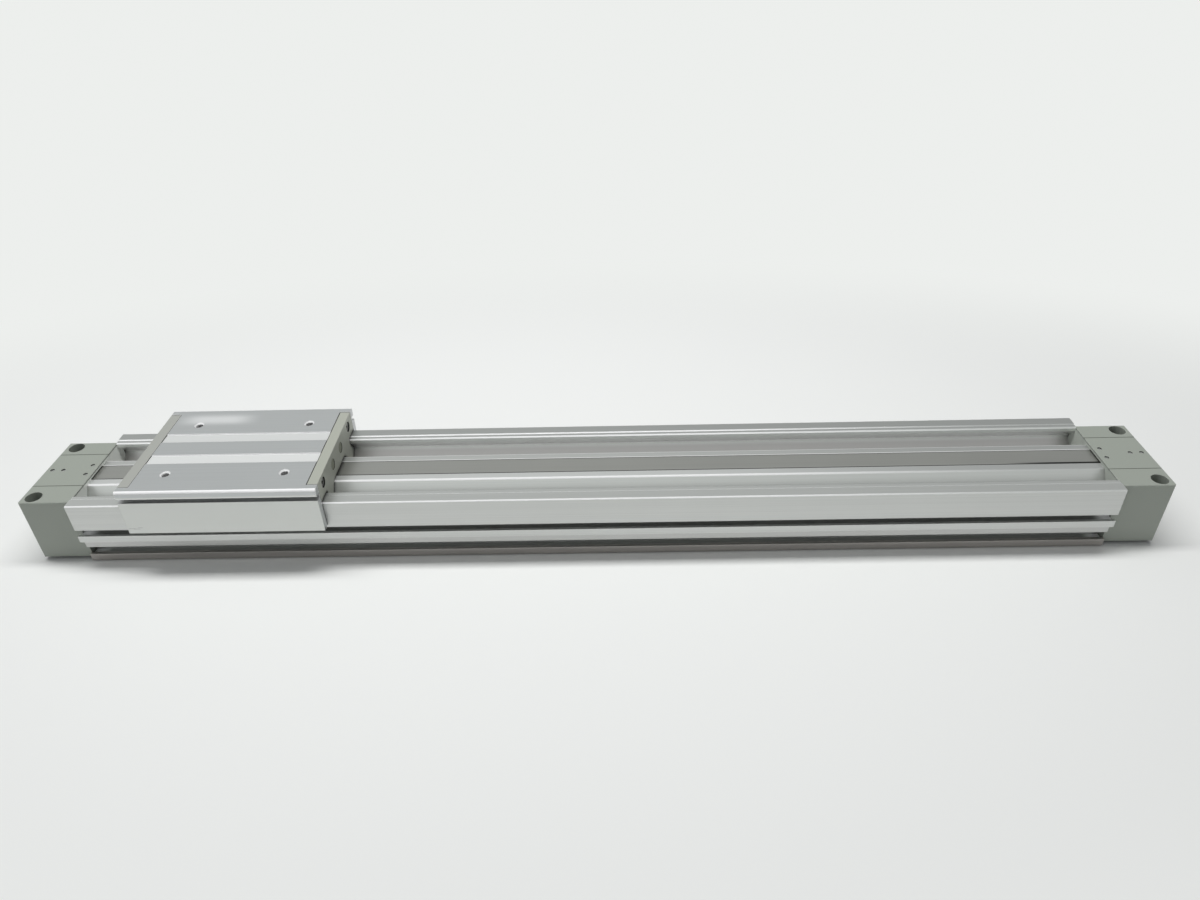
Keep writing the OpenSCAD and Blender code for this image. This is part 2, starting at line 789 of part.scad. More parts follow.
module head_solid() {
    difference() {
        bar_x(yoke_half, ph, 0, bore_z, piston_r);
        // way of the sealing band
        translate([yoke_half - 1, -dip_half, dip_z - dip_under])
            cube([notch_l + 1, 2 * dip_half, bore_r]);
        // cushion chamber and its seal
        bar_x(ph - chamber_l, ph + 1, 0, bore_z, chamber_r);
        bar_x(cushion_x, cushion_x + cushion_t, 0, bore_z, cushion_r);
        // piston screw
        bar_x(yoke_half - 1, ph - chamber_l, 0, bore_z, piston_screw_r + 0.1);
        bar_x(piston_seat, ph - chamber_l + 1, 0, bore_z, piston_head_r + 0.2);
        groove_x(cup_x, cup_l, cup_t);
        groove_x(ring_x0, ring_l, ring_t);
        groove_x(magnet_x, magnet_l, magnet_t);
    }
}

module piston_head_left() { color([0.7, 0.72, 0.72]) at_car(-1) head_solid(); }
module piston_head_right() { color([0.7, 0.72, 0.72]) at_car(1) head_solid(); }

// cup seals, open towards the pressure side
module piston_seals() {
    color([0.1, 0.1, 0.1]) for (side = [-1, 1]) at_car(side) difference() {
        ring_x(cup_x, cup_x + cup_l, guide_r, piston_r - cup_t);
        difference() {
            bar_x(cup_x + cup_l - 1, cup_x + cup_l + 1, 0, bore_z, piston_r - 0.9);
            bar_x(cup_x + cup_l - 2, cup_x + cup_l + 2, 0, bore_z, piston_r - 2.1);
        }
    }
}

module wear_rings() {
    color([0.85, 0.83, 0.74]) for (side = [-1, 1]) at_car(side)
        ring_x(ring_x0, ring_x0 + ring_l, guide_r, piston_r - ring_t);
}

module magnet_ring() {
    color([0.15, 0.15, 0.16]) at_car(1)
        ring_x(magnet_x, magnet_x + magnet_l, piston_r - e, piston_r - magnet_t);
}

module cushion_seals() {
    color([0.1, 0.1, 0.1]) for (side = [-1, 1]) at_car(side)
        ring_x(cushion_x, cushion_x + cushion_t, cushion_r, spigot_r + run_gap);
}

module piston_screws() {
    head_l = piston_screw_r * 1.5;
    color([0.35, 0.35, 0.36]) for (side = [-1, 1]) at_car(side) difference() {
        union() {
            bar_x(yoke_half - piston_screw_in, piston_seat, 0, bore_z,
                piston_screw_r - thread_gap);
            bar_x(piston_seat, piston_seat + head_l, 0, bore_z, piston_head_r);
        }
        hex_x(piston_seat + head_l / 2, ph, 0, bore_z, piston_screw_r * hex_k);
    }
}

// ---- assembly ----

cylinder_profile();
end_cap_left();
end_cap_right();
band_cover_left();
band_cover_right();
cover_band();
sealing_band();
band_set_screws();
cover_screws();
cap_screws();
cap_o_rings();
cushion_spigot_left();
cushion_spigot_right();
end_buffers();
cushion_needle_left();
cushion_needle_right();
carriage_plate();
end_plate_left();
end_plate_right();
wiper_left();
wiper_right();
end_plate_screws();
end_plate_plugs();
slide_pads_front();
slide_pads_rear();
band_guides();
drive_yoke();
piston_head_left();
piston_head_right();
piston_seals();
wear_rings();
magnet_ring();
cushion_seals();
piston_screws();
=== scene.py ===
import bpy
import bmesh
from math import radians
from mathutils import Matrix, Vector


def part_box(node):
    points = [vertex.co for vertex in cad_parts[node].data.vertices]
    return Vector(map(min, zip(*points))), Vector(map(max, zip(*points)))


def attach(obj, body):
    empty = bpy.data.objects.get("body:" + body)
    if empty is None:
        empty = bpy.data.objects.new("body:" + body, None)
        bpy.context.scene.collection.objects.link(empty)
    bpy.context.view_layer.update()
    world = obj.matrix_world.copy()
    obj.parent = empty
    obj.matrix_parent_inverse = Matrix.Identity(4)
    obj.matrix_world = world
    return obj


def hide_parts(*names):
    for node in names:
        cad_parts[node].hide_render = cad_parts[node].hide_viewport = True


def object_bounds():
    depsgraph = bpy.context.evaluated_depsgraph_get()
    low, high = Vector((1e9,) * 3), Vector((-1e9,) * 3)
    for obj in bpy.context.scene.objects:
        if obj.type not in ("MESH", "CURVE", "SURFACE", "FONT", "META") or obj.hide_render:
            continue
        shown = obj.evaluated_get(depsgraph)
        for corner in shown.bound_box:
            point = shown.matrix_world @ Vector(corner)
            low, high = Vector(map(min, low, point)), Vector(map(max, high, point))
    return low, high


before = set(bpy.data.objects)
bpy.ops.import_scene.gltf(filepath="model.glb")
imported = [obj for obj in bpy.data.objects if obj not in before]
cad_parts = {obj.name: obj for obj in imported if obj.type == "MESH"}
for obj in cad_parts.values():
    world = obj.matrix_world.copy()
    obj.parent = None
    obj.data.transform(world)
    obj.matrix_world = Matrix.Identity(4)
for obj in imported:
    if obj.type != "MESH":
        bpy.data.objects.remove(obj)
cad_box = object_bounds()
scene = bpy.context.scene

# Camera: a wide lens close above the front of the cylinder, a little right of
# its middle, tipped down so that the whole length and the carriage top show.
camera_data = bpy.data.cameras.new("camera")
camera_data.sensor_width = 36.0
camera_data.lens = 26.303
camera_place = (0.01816, -0.50029, 0.40422)
swing, tilt, roll = radians(1.307), radians(90 - 34.563), radians(-1.701)
camera = bpy.data.objects.new("camera", camera_data)
camera.matrix_world = (Matrix.Translation(camera_place) @ Matrix.Rotation(swing, 4, "Z")
                       @ Matrix.Rotation(tilt, 4, "X") @ Matrix.Rotation(roll, 4, "Z"))
scene.collection.objects.link(camera)
scene.camera = camera

# Studio: a pale table top under the cylinder, lit by one long narrow panel high
# above it, with a white surround that is brighter in front and on the left.
scene.view_settings.view_transform = "Standard"
even_white = (0.845, 0.862, 0.845, 1)
table_half, table_gap = 3.0, 0.0003
grid = bmesh.new()
bmesh.ops.create_grid(grid, x_segments=1, y_segments=1, size=table_half)
bmesh.ops.translate(grid, verts=grid.verts, vec=(0, 0, cad_box[0].z - table_gap))
table_mesh = bpy.data.meshes.new("table_top")
grid.to_mesh(table_mesh)
grid.free()
table_top = bpy.data.objects.new("table_top", table_mesh)
scene.collection.objects.link(table_top)


def plain_finish(name, colour, rough=0.5, metal=0.0):
    made = bpy.data.materials.new(name)
    made.use_nodes = True
    shader = made.node_tree.nodes["Principled BSDF"]
    shader.inputs["Base Color"].default_value = (*colour, 1)
    shader.inputs["Roughness"].default_value = rough
    shader.inputs["Metallic"].default_value = metal
    return made, shader


# Each input of a new node takes either a link from a socket or a set value.
def add_node(tree, kind, inputs=None, **options):
    node = tree.nodes.new("ShaderNode" + kind)
    for option, value in options.items():
        setattr(node, option, value)
    for label, value in (inputs or {}).items():
        if isinstance(value, bpy.types.NodeSocket):
            tree.links.new(value, node.inputs[label])
        else:
            node.inputs[label].default_value = value
    return node


def number_step(tree, operation, *values):
    return add_node(tree, "Math", dict(enumerate(values)), operation=operation).outputs[0]


def vector_step(tree, operation, *values):
    step = add_node(tree, "VectorMath", dict(enumerate(values)), operation=operation)
    return step.outputs["Value" if operation in ("LENGTH", "DOT_PRODUCT") else "Vector"]


def ramp(tree, value, start, end, at_start=0.0, at_end=1.0, **options):
    limits = {"From Min": start, "From Max": end, "To Min": at_start, "To Max": at_end}
    return add_node(tree, "MapRange", {"Value": value, **limits}, **options).outputs[0]


# The mask is 1 for what is seen straight, mirrored or through glass, and 0 for
# what only lights the cylinder.
def seen_mask(tree):
    rays = add_node(tree, "LightPath").outputs
    seen = number_step(tree, "MAXIMUM", rays["Is Camera Ray"], rays["Is Glossy Ray"])
    return number_step(tree, "MAXIMUM", seen, rays["Is Transmission Ray"])


# Away from the cylinder, past a long oval, the table shows as one even white.
table_white, shader = plain_finish("table_white", (0.86, 0.87, 0.855), 0.75)
shader.inputs["Specular IOR Level"].default_value = 0.2
table_mesh.materials.append(table_white)
oval, oval_start, oval_end = (0.8, 1.5, 0), 0.38, 0.72
tree = table_white.node_tree
spot = add_node(tree, "TexCoord").outputs["Object"]
distance = vector_step(tree, "LENGTH", vector_step(tree, "MULTIPLY", spot, oval))
far = ramp(tree, distance, oval_start, oval_end, interpolation_type="SMOOTHSTEP")
far_table = add_node(tree, "Emission", {"Color": even_white})
blend = add_node(tree, "MixShader", {"Fac": number_step(tree, "MULTIPLY", far, seen_mask(tree)),
                                     1: shader.outputs[0], 2: far_table.outputs[0]})
tree.links.new(blend.outputs[0], tree.nodes["Material Output"].inputs["Surface"])

# The surround lights the cylinder softly, looks whiter where it is mirrored, and
# has the same even white as the far table where it is seen straight.
world = bpy.data.worlds.new("white_surround")
scene.world = world
world.use_nodes = True
tree = world.node_tree
tree.nodes.clear()
direction = add_node(tree, "TexCoord").outputs["Generated"]
toward = add_node(tree, "SeparateXYZ", {0: direction}).outputs


def backdrop(colour, by_x, by_y):
    strength = number_step(tree, "MULTIPLY", by_x, by_y)
    return add_node(tree, "Background", {"Color": (*colour, 1), "Strength": strength}).outputs[0]


soft_fill = backdrop((0.96, 0.98, 1.0), ramp(tree, toward["X"], -0.8, 0.8, 0.42, 0.14),
                     ramp(tree, toward["Y"], -0.8, 0.8, 1.15, 0.7))
seen_white = backdrop((0.97, 1.0, 0.985), ramp(tree, toward["X"], -0.1, 0.5, 1.0, 0.72),
                      ramp(tree, toward["Y"], -0.25, 0.35, 1.0, 0.60))
open_air = add_node(tree, "Background", {"Color": even_white})
mirrored = add_node(tree, "MixShader", {"Fac": seen_mask(tree), 1: soft_fill, 2: seen_white})
straight = add_node(tree, "LightPath").outputs["Is Camera Ray"]
surround = add_node(tree, "MixShader", {"Fac": straight, 1: mirrored.outputs[0],
                                        2: open_air.outputs[0]})
add_node(tree, "OutputWorld", {"Surface": surround.outputs[0]})

# The panel lights the metal but isn't mirrored in it.
panel = bpy.data.lights.new("panel_above", "AREA")
panel.shape = "RECTANGLE"
panel.size = 1.5
panel.size_y = 0.2
panel.energy = 15.6
panel_place = (-0.12, 0.11, 1.3)
lamp = bpy.data.objects.new("panel_above", panel)
lamp.matrix_world = Matrix.Translation(panel_place)
lamp.visible_glossy = False
scene.collection.objects.link(lamp)

# Barrel: one aluminium extrusion, sawn to length and clear anodised. The die
# leaves fine lines along it, and handling leaves faint cloudy patches.
barrel_low, barrel_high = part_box("cylinder_profile")
barrel_front, barrel_top, half_long = barrel_low.y, barrel_high.z, barrel_high.x


def effect_group(name, inputs, outputs):
    tree = bpy.data.node_groups.new(name, "ShaderNodeTree")
    for label, value in inputs.items():
        kind = ("NodeSocketFloat" if isinstance(value, float) else
                "NodeSocketColor" if len(value) == 4 else "NodeSocketVector")
        socket = tree.interface.new_socket(label, in_out="INPUT", socket_type=kind)
        socket.default_value = value
    for label, kind in outputs.items():
        tree.interface.new_socket(label, in_out="OUTPUT", socket_type=kind)
    given = tree.nodes.new("NodeGroupInput").outputs
    gives = tree.nodes.new("NodeGroupOutput").inputs
    return tree, given, gives


def scaled_colour(tree, colour, amount):
    return add_node(tree, "VectorMath", {0: colour, "Scale": amount}, operation="SCALE").outputs[0]


# A Mix node takes its two colours in sockets 6 and 7, and gives one in output 2.
def mixed_colour(tree, amount, below, above):
    return add_node(tree, "Mix", {0: amount, 6: below, 7: above}, data_type="RGBA").outputs[2]


def around_one(tree, noise, strength):
    centred = number_step(tree, "SUBTRACT", noise, 0.5)
    return number_step(tree, "MULTIPLY_ADD", centred, strength, 1.0)


# Where two faces meet, the colour turns to the lighter edge colour: a painted
# highlight for the light that rounded corners catch. The limits of the highlight
# are cosines between the flat face and the rounded corner.
def corner_highlights(tree, given, surface, full_highlight, no_highlight=0.995):
    rounded = add_node(tree, "Bevel", {"Radius": given["Corner"]}, samples=4).outputs[0]
    flat = add_node(tree, "NewGeometry").outputs["True Normal"]
    highlight_amount = ramp(tree, vector_step(tree, "DOT_PRODUCT", rounded, flat), no_highlight, full_highlight)
    return mixed_colour(tree, highlight_amount, surface, given["Edge"]), rounded


# Narrow gaps and hollows get painted shade, a darker colour. A place is fully
# dark when less of it than closed is open to the air, and fully light when more
# than opened is.
def shade_hollows(tree, colour, depth, darkest, closed=0.2, opened=0.75):
    openness = add_node(tree, "AmbientOcclusion", {"Distance": depth}, samples=8)
    light = ramp(tree, openness.outputs["AO"], closed, opened, darkest)
    return scaled_colour(tree, colour, light)


def bumped(tree, height, strength, rounded):
    grain = {"Strength": strength, "Distance": 0.0001, "Height": height, "Normal": rounded}
    return add_node(tree, "Bump", grain).outputs[0]


# Worked metal: streaks along X and cloudy patches, in colour and in gloss.
worked, given, gives = effect_group(
    "worked_metal",
    {"Base": (0.7, 0.7, 0.7, 1), "Edge": (0.9, 0.9, 0.9, 1), "Across": 900.0,
     "Along": 6.0, "Streaks": 0.1, "Clouds": 0.06, "Rough": 0.35, "Corner": 0.0005,
     "Depth": 0.007, "Shade": 0.12},
    {"Color": "NodeSocketColor", "Roughness": "NodeSocketFloat",
     "Normal": "NodeSocketVector"})
place = add_node(worked, "TexCoord").outputs["Object"]
stretch = add_node(worked, "CombineXYZ", {"X": given["Along"], "Y": given["Across"],
                                          "Z": given["Across"]}).outputs[0]
stretched = vector_step(worked, "MULTIPLY", place, stretch)
streaks = add_node(worked, "TexNoise", {"Vector": stretched, "Scale": 1.0, "Detail": 3.0})
clouds = add_node(worked, "TexNoise", {"Vector": place, "Scale": 14.0, "Detail": 4.0})
marks = number_step(worked, "MULTIPLY",
                    around_one(worked, streaks.outputs["Fac"], given["Streaks"]),
                    around_one(worked, clouds.outputs["Fac"], given["Clouds"]))
marked = scaled_colour(worked, given["Base"], marks)
# Painted highlights on the corners, then painted shade in the hollows.
highlit, rounded = corner_highlights(worked, given, marked, full_highlight=0.90)
worked.links.new(shade_hollows(worked, highlit, given["Depth"], given["Shade"]), gives["Color"])
worked.links.new(number_step(worked, "MULTIPLY", given["Rough"], marks), gives["Roughness"])
worked.links.new(bumped(worked, streaks.outputs["Fac"], 0.08, rounded), gives["Normal"])


def effect_finish(name, effect, base, edge, settings, **shader_values):
    made, shader = plain_finish(name, base, **shader_values)
    look = add_node(made.node_tree, "Group", {"Base": (*base, 1), "Edge": (*edge, 1), **settings},
                    node_tree=effect)
    for output in look.outputs:
        socket = "Base Color" if output.name == "Color" else output.name
        made.node_tree.links.new(output, shader.inputs[socket])
    return made


def worked_finish(name, base, edge, metal, **settings):
    return effect_finish(name, worked, base, edge, settings, metal=metal)


def dress(made, *names):
    for name in names:
        for material_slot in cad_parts[name].material_slots:
            material_slot.material = made


# Patch: paints one colour over a soft-edged box of the surface, used here for
# painted highlights and painted shade, for dark joint lines and for a few marks
# of use. Mirror folds the box over to both sides of the middle, on each axis
# where it is 1.
patch, given, gives = effect_group(
    "patch", {"Under": (0.5, 0.5, 0.5, 1), "Paint": (0.5, 0.5, 0.5, 1), "Amount": 1.0,
              "Mirror": (0, 0, 0), "Centre": (0, 0, 0), "Reach": (0, 0, 0),
              "Fade": (0.001, 0.001, 0.001)},
    {"Color": "NodeSocketColor", "Mask": "NodeSocketFloat"})
place = add_node(patch, "TexCoord").outputs["Object"]
folded = add_node(patch, "Mix", {1: given["Mirror"], 4: place,
                                 5: vector_step(patch, "ABSOLUTE", place)},
                  data_type="VECTOR", factor_mode="NON_UNIFORM").outputs[1]
away = vector_step(patch, "ABSOLUTE", vector_step(patch, "SUBTRACT", folded, given["Centre"]))
outer = vector_step(patch, "ADD", given["Reach"], given["Fade"])
# Sockets 6 to 10 are a vector, its two limits and what it becomes at each.
inside = add_node(patch, "MapRange", {6: away, 7: given["Reach"], 8: outer, 9: (1, 1, 1),
                                      10: (0, 0, 0)},
                  data_type="FLOAT_VECTOR", interpolation_type="SMOOTHSTEP")
mask = given["Amount"]
for side in add_node(patch, "SeparateXYZ", {0: inside.outputs["Vector"]}).outputs:
    mask = number_step(patch, "MULTIPLY", mask, side)
patch.links.new(mixed_colour(patch, mask, given["Under"], given["Paint"]), gives["Color"])
patch.links.new(mask, gives["Mask"])


def patch_over(made, paint, centre, reach, fade, amount=1.0, mirror=(0, 0, 0), metal=None):
    tree = made.node_tree
    sockets = tree.nodes["Principled BSDF"].inputs
    laid = add_node(tree, "Group", {
        "Under": sockets["Base Color"].links[0].from_socket, "Paint": (*paint, 1),
        "Amount": amount, "Mirror": mirror, "Centre": centre, "Reach": reach,
        "Fade": fade}, node_tree=patch)
    tree.links.new(laid.outputs["Color"], sockets["Base Color"])
    if metal is None:
        return
    metallic = sockets["Metallic"]
    under = metallic.links[0].from_socket if metallic.links else metallic.default_value
    mixed = add_node(tree, "Mix", {0: laid.outputs["Mask"], 2: under, 3: metal})
    tree.links.new(mixed.outputs[0], metallic)


# A stripe is a patch along the whole length, so that only its place, its reach
# and its soft edge across the length are given, each as (y, z).
def stripe(made, paint, place, reach, fade, amount=1.0, metal=None):
    patch_over(made, paint, (0, *place), (1, *reach), (0.1, *fade), amount, metal=metal)


white = (1, 1, 1)
anodised = worked_finish("anodised_extrusion", (0.605, 0.615, 0.60), (0.96, 0.97, 0.97),
                         0.75, Across=1100.0, Along=3.0, Streaks=0.16, Clouds=0.06,
                         Rough=0.34, Corner=0.0003, Depth=0.005, Shade=0.4)
# The foot, the side between the slots and the lower flank of the rear channel
# are painted darker, a painted shade for the shadow they lie in and the shaded
# table they mirror; the rear land is painted darker too.
foot = (barrel_front + 0.005, 0.003)
rear_land = (0.038, barrel_top)
side_strip = (barrel_front + 0.004, 0.0145)
lower_flank = (0.0325, 0.033)
stripe(anodised, (0.36, 0.33, 0.31), foot, (0.002, 0.003), (0.001, 0.001), 0.8)
stripe(anodised, (0.46, 0.47, 0.46), rear_land, (0.0052, 0.0003), (0.0005, 0.0003), 0.9)
stripe(anodised, (0.50, 0.50, 0.49), side_strip, (0.001, 0.003), (0.001, 0.001), 0.6)
stripe(anodised, (0.46, 0.445, 0.44), lower_flank, (0.0045, 0.0035), (0.002, 0.003), 0.9)
# The rear lip face and the upper flank under it are painted white and fully
# metallic, a painted highlight; the front ridge gets a weaker painted highlight,
# and both ridges get painted shade toward the right end.
lip_y, ridge_y, ridge_z = 0.0316, 0.0115, 0.0476
lip_face = (lip_y, 0.0484)
upper_flank = (lip_y + 0.0038, 0.0430)
stripe(anodised, (0.98, 0.99, 0.98), lip_face, (0.0003, 0.0014), (0.0002, 0.0003), 0.95, 1.0)
stripe(anodised, white, upper_flank, (0.0038, 0.0036), (0.0002, 0.0004), 1.0, 1.0)
ridge_reach, ridge_fade = (0.0028, 0.0006), (0.0005, 0.0003)
stripe(anodised, (0.70, 0.71, 0.70), (-ridge_y, ridge_z), ridge_reach, ridge_fade, 0.9, 0.62)
for middle_y, shade in [(-ridge_y, 0.50), (ridge_y, 0.51)]:
    patch_over(anodised, (shade, shade + 0.01, shade), (half_long, middle_y, ridge_z),
               (0.06, *ridge_reach), (0.24, *ridge_fade), 0.9)
# Thin near-white lines painted in the rear channel's floor corner and along both
# edges of the rear ridge: painted highlights on these edges.
channel_floor, ridge_top = 0.0336, 0.0473
band_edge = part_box("cover_band")[1].y + 0.0002
for line_y, line_z, width, strength in [
        (lip_y + 0.0032, channel_floor, 0.0002, 0.5), (0.0140, ridge_top, 0.0003, 0.8),
        (band_edge + 0.0004, ridge_top, 0.0003, 0.9)]:
    stripe(anodised, (0.97, 0.97, 0.96), (line_y, line_z), (width, 0.0006),
           (0.0002, 0.0003), strength, 0.5)
# Painted highlights along edges, strongest left of the middle and fading toward
# the ends: the rear lip's, the front lip's, the front ridge's and the outer front edge.
highlight_x, highlight_reach, highlight_fade = -0.16, 0.22, 0.28
for line_y, line_z, width, deep, strength in [
        (lip_y + 0.0039, 0.0505, 0.0006, 0.0003, 0.95),
        (lip_y + 0.0003, 0.0503, 0.0005, 0.0004, 0.95),
        (-lip_y, barrel_top, 0.0004, 0.0004, 0.35),
        (-0.0143, 0.0471, 0.0006, 0.0006, 0.9),
        (barrel_front + 0.0003, barrel_top - 0.0003, 0.0004, 0.0004, 0.9)]:
    patch_over(anodised, white, (highlight_x, line_y, line_z), (highlight_reach, width, deep),
               (highlight_fade, 0.0002, 0.0002), strength, metal=0.15)
# The slots are painted dark inside, a painted shade, and their last few
# millimetres at each end are painted white, painted light coming in at the open ends.
slot_fade = (0.0002, 0.0002)
for slot_y, slot_z, tall in [(barrel_front + 0.0052, 0.0252, 0.0045),
                             (barrel_front + 0.0097, 0.0062, 0.0054)]:
    slot_reach = (0.0029, tall)
    stripe(anodised, (0.25, 0.25, 0.245), (slot_y, slot_z), slot_reach, slot_fade, 0.9)
    patch_over(anodised, white, (half_long, slot_y, slot_z), (0.0035, *slot_reach),
               (0.009, *slot_fade), 1.0, (1, 0, 0), 0.0)
dress(anodised, "cylinder_profile")

# End caps and band covers: cast aluminium with a matt grey coat that has a fine,
# even orange peel. Four long screws hold each cap, and small ones its cover.
coat, given, gives = effect_group(
    "matt_coat",
    {"Base": (0.4, 0.4, 0.4, 1), "Edge": (0.6, 0.6, 0.6, 1), "Peel": 1400.0,
     "Speckle": 0.12, "Corner": 0.0005, "Depth": 0.008, "Shade": 0.35},
    {"Color": "NodeSocketColor", "Normal": "NodeSocketVector"})
place = add_node(coat, "TexCoord").outputs["Object"]
peel = add_node(coat, "TexNoise", {"Vector": place, "Scale": given["Peel"],
                                   "Detail": 2.0}).outputs["Fac"]
speckled = scaled_colour(coat, given["Base"], around_one(coat, peel, given["Speckle"]))
# Painted highlights on the corners, then painted shade in the hollows.
highlit, rounded = corner_highlights(coat, given, speckled, full_highlight=0.85)
coat.links.new(shade_hollows(coat, highlit, given["Depth"], given["Shade"]), gives["Color"])
coat.links.new(bumped(coat, peel, 0.25, rounded), gives["Normal"])


def coated_finish(name, base, edge, rough, metal=0.0, **settings):
    return effect_finish(name, coat, base, edge, settings, rough=rough, metal=metal)


cap_grey = coated_finish("cap_grey", (0.32, 0.345, 0.305), (0.50, 0.52, 0.48), 0.55)
# The joints between each cap and its cover show as two dark lines.
cover_low, cover_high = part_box("band_cover_right")
for joint_y in (cover_low.y, cover_high.y):
    stripe(cap_grey, (0.10, 0.11, 0.09), (joint_y, cover_high.z), (0.0002, 0.0003),
           (0.0003, 0.0002), 0.9)
# The caps' inner faces, seen at the ends of the channels, are painted lighter,
# the left one near white and the right one less: painted light and shade for how
# each end is lit.
inner_face, inner_reach = (0.0005, 0.040), (0.0008, 0.0365, 0.0085)
for end_x, shade in [(-half_long, 0.95), (half_long, 0.50)]:
    patch_over(cap_grey, (shade, shade + 0.03, shade - 0.02), (end_x, *inner_face),
               inner_reach, (0.0004, 0.0005, 0.0008))
dress(cap_grey, "end_cap_left", "end_cap_right", "band_cover_left", "band_cover_right")

# Cover band: a thin rolled steel strip that lies between the two ridges and
# shuts the slot. Its ends are held under the covers by the band set screws. It
# lies flat over its whole length, so it is right wherever the carriage is.
band_thick = 0.0005
band_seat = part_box("band_cover_left")[0].z
band_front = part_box("cover_band")[0].y
near_black = (0.03, 0.03, 0.03)
band_steel = worked_finish("rolled_band_steel", (0.44, 0.44, 0.418), (0.58, 0.58, 0.57),
                           0.85, Across=1500.0, Along=2.0, Streaks=0.18, Clouds=0.12,
                           Rough=0.33, Corner=0.0001)
# Along its front edge the band is painted near black, a painted shadow of the
# gap there, wider near the right end.
gap_end_x = 0.338
stripe(band_steel, near_black, (band_front, band_seat), (0.0006, 0.001), (0.0002, 0.001), 0.9)
patch_over(band_steel, near_black, (gap_end_x, band_front, band_seat),
           (0.020, 0.0017, 0.001), (0.04, 0.0006, 0.001), 1.0)


def flat_strip(name, node, bottom):
    (x0, y0, _), (x1, y1, _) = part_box(node)
    strip = bmesh.new()
    bmesh.ops.create_cube(strip, size=1.0)
    bmesh.ops.scale(strip, verts=strip.verts, vec=(x1 - x0, y1 - y0, band_thick))
    bmesh.ops.translate(strip, verts=strip.verts,
                        vec=((x0 + x1) / 2, (y0 + y1) / 2, bottom + band_thick / 2))
    bmesh.ops.bevel(strip, geom=strip.edges, offset=band_thick * 0.2, segments=2,
                    profile=0.5, affect="EDGES", material=-1)
    mesh = bpy.data.meshes.new(name)
    strip.to_mesh(mesh)
    strip.free()
    mesh.materials.append(band_steel)
    piece = bpy.data.objects.new(name, mesh)
    scene.collection.objects.link(piece)
    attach(piece, "barrel")
    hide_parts(node)


flat_strip("cover_strip", "cover_band", band_seat)

# Sealing band: the inner strip, pressed against the slot by the air. It hides
# in the bore and follows the cover band from cap to cap.
seal_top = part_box("sealing_band")[1].z
flat_strip("seal_strip", "sealing_band", seal_top - band_thick)

# Screws: all of steel with hexagon sockets. The big ones are blackened, those in
# the end plates are worn grey, and the small ones in the covers, which have no
# heads and lie just under the face, are bright.
black_steel = worked_finish("blackened_steel", (0.075, 0.075, 0.08), (0.3, 0.3, 0.3),
                            0.7, Across=600.0, Along=600.0, Streaks=0.3, Clouds=0.1,
                            Rough=0.38, Corner=0.0002)
dress(black_steel, "cap_screws", "piston_screws")
worn_steel = worked_finish("worn_screw_steel", (0.26, 0.26, 0.25), (0.42, 0.42, 0.40), 0.6,
                           Across=600.0, Along=600.0, Streaks=0.2, Clouds=0.1,
                           Rough=0.42, Corner=0.0002)
dress(worn_steel, "end_plate_screws")
bright_steel = worked_finish("bright_steel", (0.80, 0.81, 0.80), (0.95, 0.95, 0.95), 0.5,
                             Across=900.0, Along=900.0, Streaks=0.1, Rough=0.3,
                             Corner=0.0003, Depth=0.0012, Shade=0.1)
dress(bright_steel, "band_set_screws", "cover_screws")

# Carriage plate: a wide anodised aluminium plate whose skirts hang over the
# barrel. Two shallow grooves run along its top and keep the brighter mill skin.
plate_low, plate_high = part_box("carriage_plate")
plate_left, plate_front, plate_top = plate_low.x, plate_low.y, plate_high.z
plate_metal = worked_finish("carriage_metal", (0.57, 0.585, 0.588), (0.95, 0.96, 0.96),
                            0.7, Across=1300.0, Along=5.0, Streaks=0.14, Clouds=0.07,
                            Rough=0.36, Depth=0.004, Shade=0.3)
groove_y, groove_reach, soft_edge = 0.013, (0.0048, 0.0006), (0.0003, 0.0003)
stripe(plate_metal, (0.78, 0.79, 0.78), (groove_y, plate_top), groove_reach, soft_edge, 1.0, 0.45)
stripe(plate_metal, (0.82, 0.83, 0.82), (-groove_y, plate_top), groove_reach, soft_edge, 1.0, 0.38)
# The rear edge of each groove and the front edge of the plate are painted white:
# painted highlights where they catch the light.
to_rear_edge = 0.005
for middle_y in (groove_y, -groove_y):
    stripe(plate_metal, white, (middle_y + to_rear_edge, plate_top), (0.0003, 0.0008),
           soft_edge, 1.0, 0.1)
stripe(plate_metal, white, (plate_front, plate_top), (0.0014, 0.0012), (0.0004, 0.0004), 1.0, 0.0)
# The skirt's face is painted a lighter grey. The groove in it is painted darker
# inside, a painted shade, with a painted highlight line above it and a painted
# patch of light at its left end.
skirt_z, side_groove_z = 0.046, plate_top - 0.0075
stripe(plate_metal, (0.645, 0.66, 0.637), (plate_front, skirt_z), (0.0002, 0.016),
       (0.0001, 0.0005))
stripe(plate_metal, (0.42, 0.425, 0.425), (plate_front + 0.0025, side_groove_z),
       (0.0023, 0.0018), (0.0001, 0.0003))
stripe(plate_metal, white, (plate_front, plate_top - 0.0054), (0.0003, 0.0002),
       (0.0002, 0.0003), 0.5, 0.3)
patch_over(plate_metal, white, (plate_left, plate_front + 0.0022, side_groove_z),
           (0.0022, 0.0025, 0.0014), (0.0012, 0.0003, 0.0003), 0.9, metal=0.1)
# A light smear at the rear left of the top: a painted highlight on a wiped patch.
wiped_highlight = (-0.272, 0.037, plate_top)
patch_over(plate_metal, (0.78, 0.79, 0.79), wiped_highlight, (0.010, 0.001, 0.001),
           (0.024, 0.0085, 0.001), 0.85, metal=0.35)
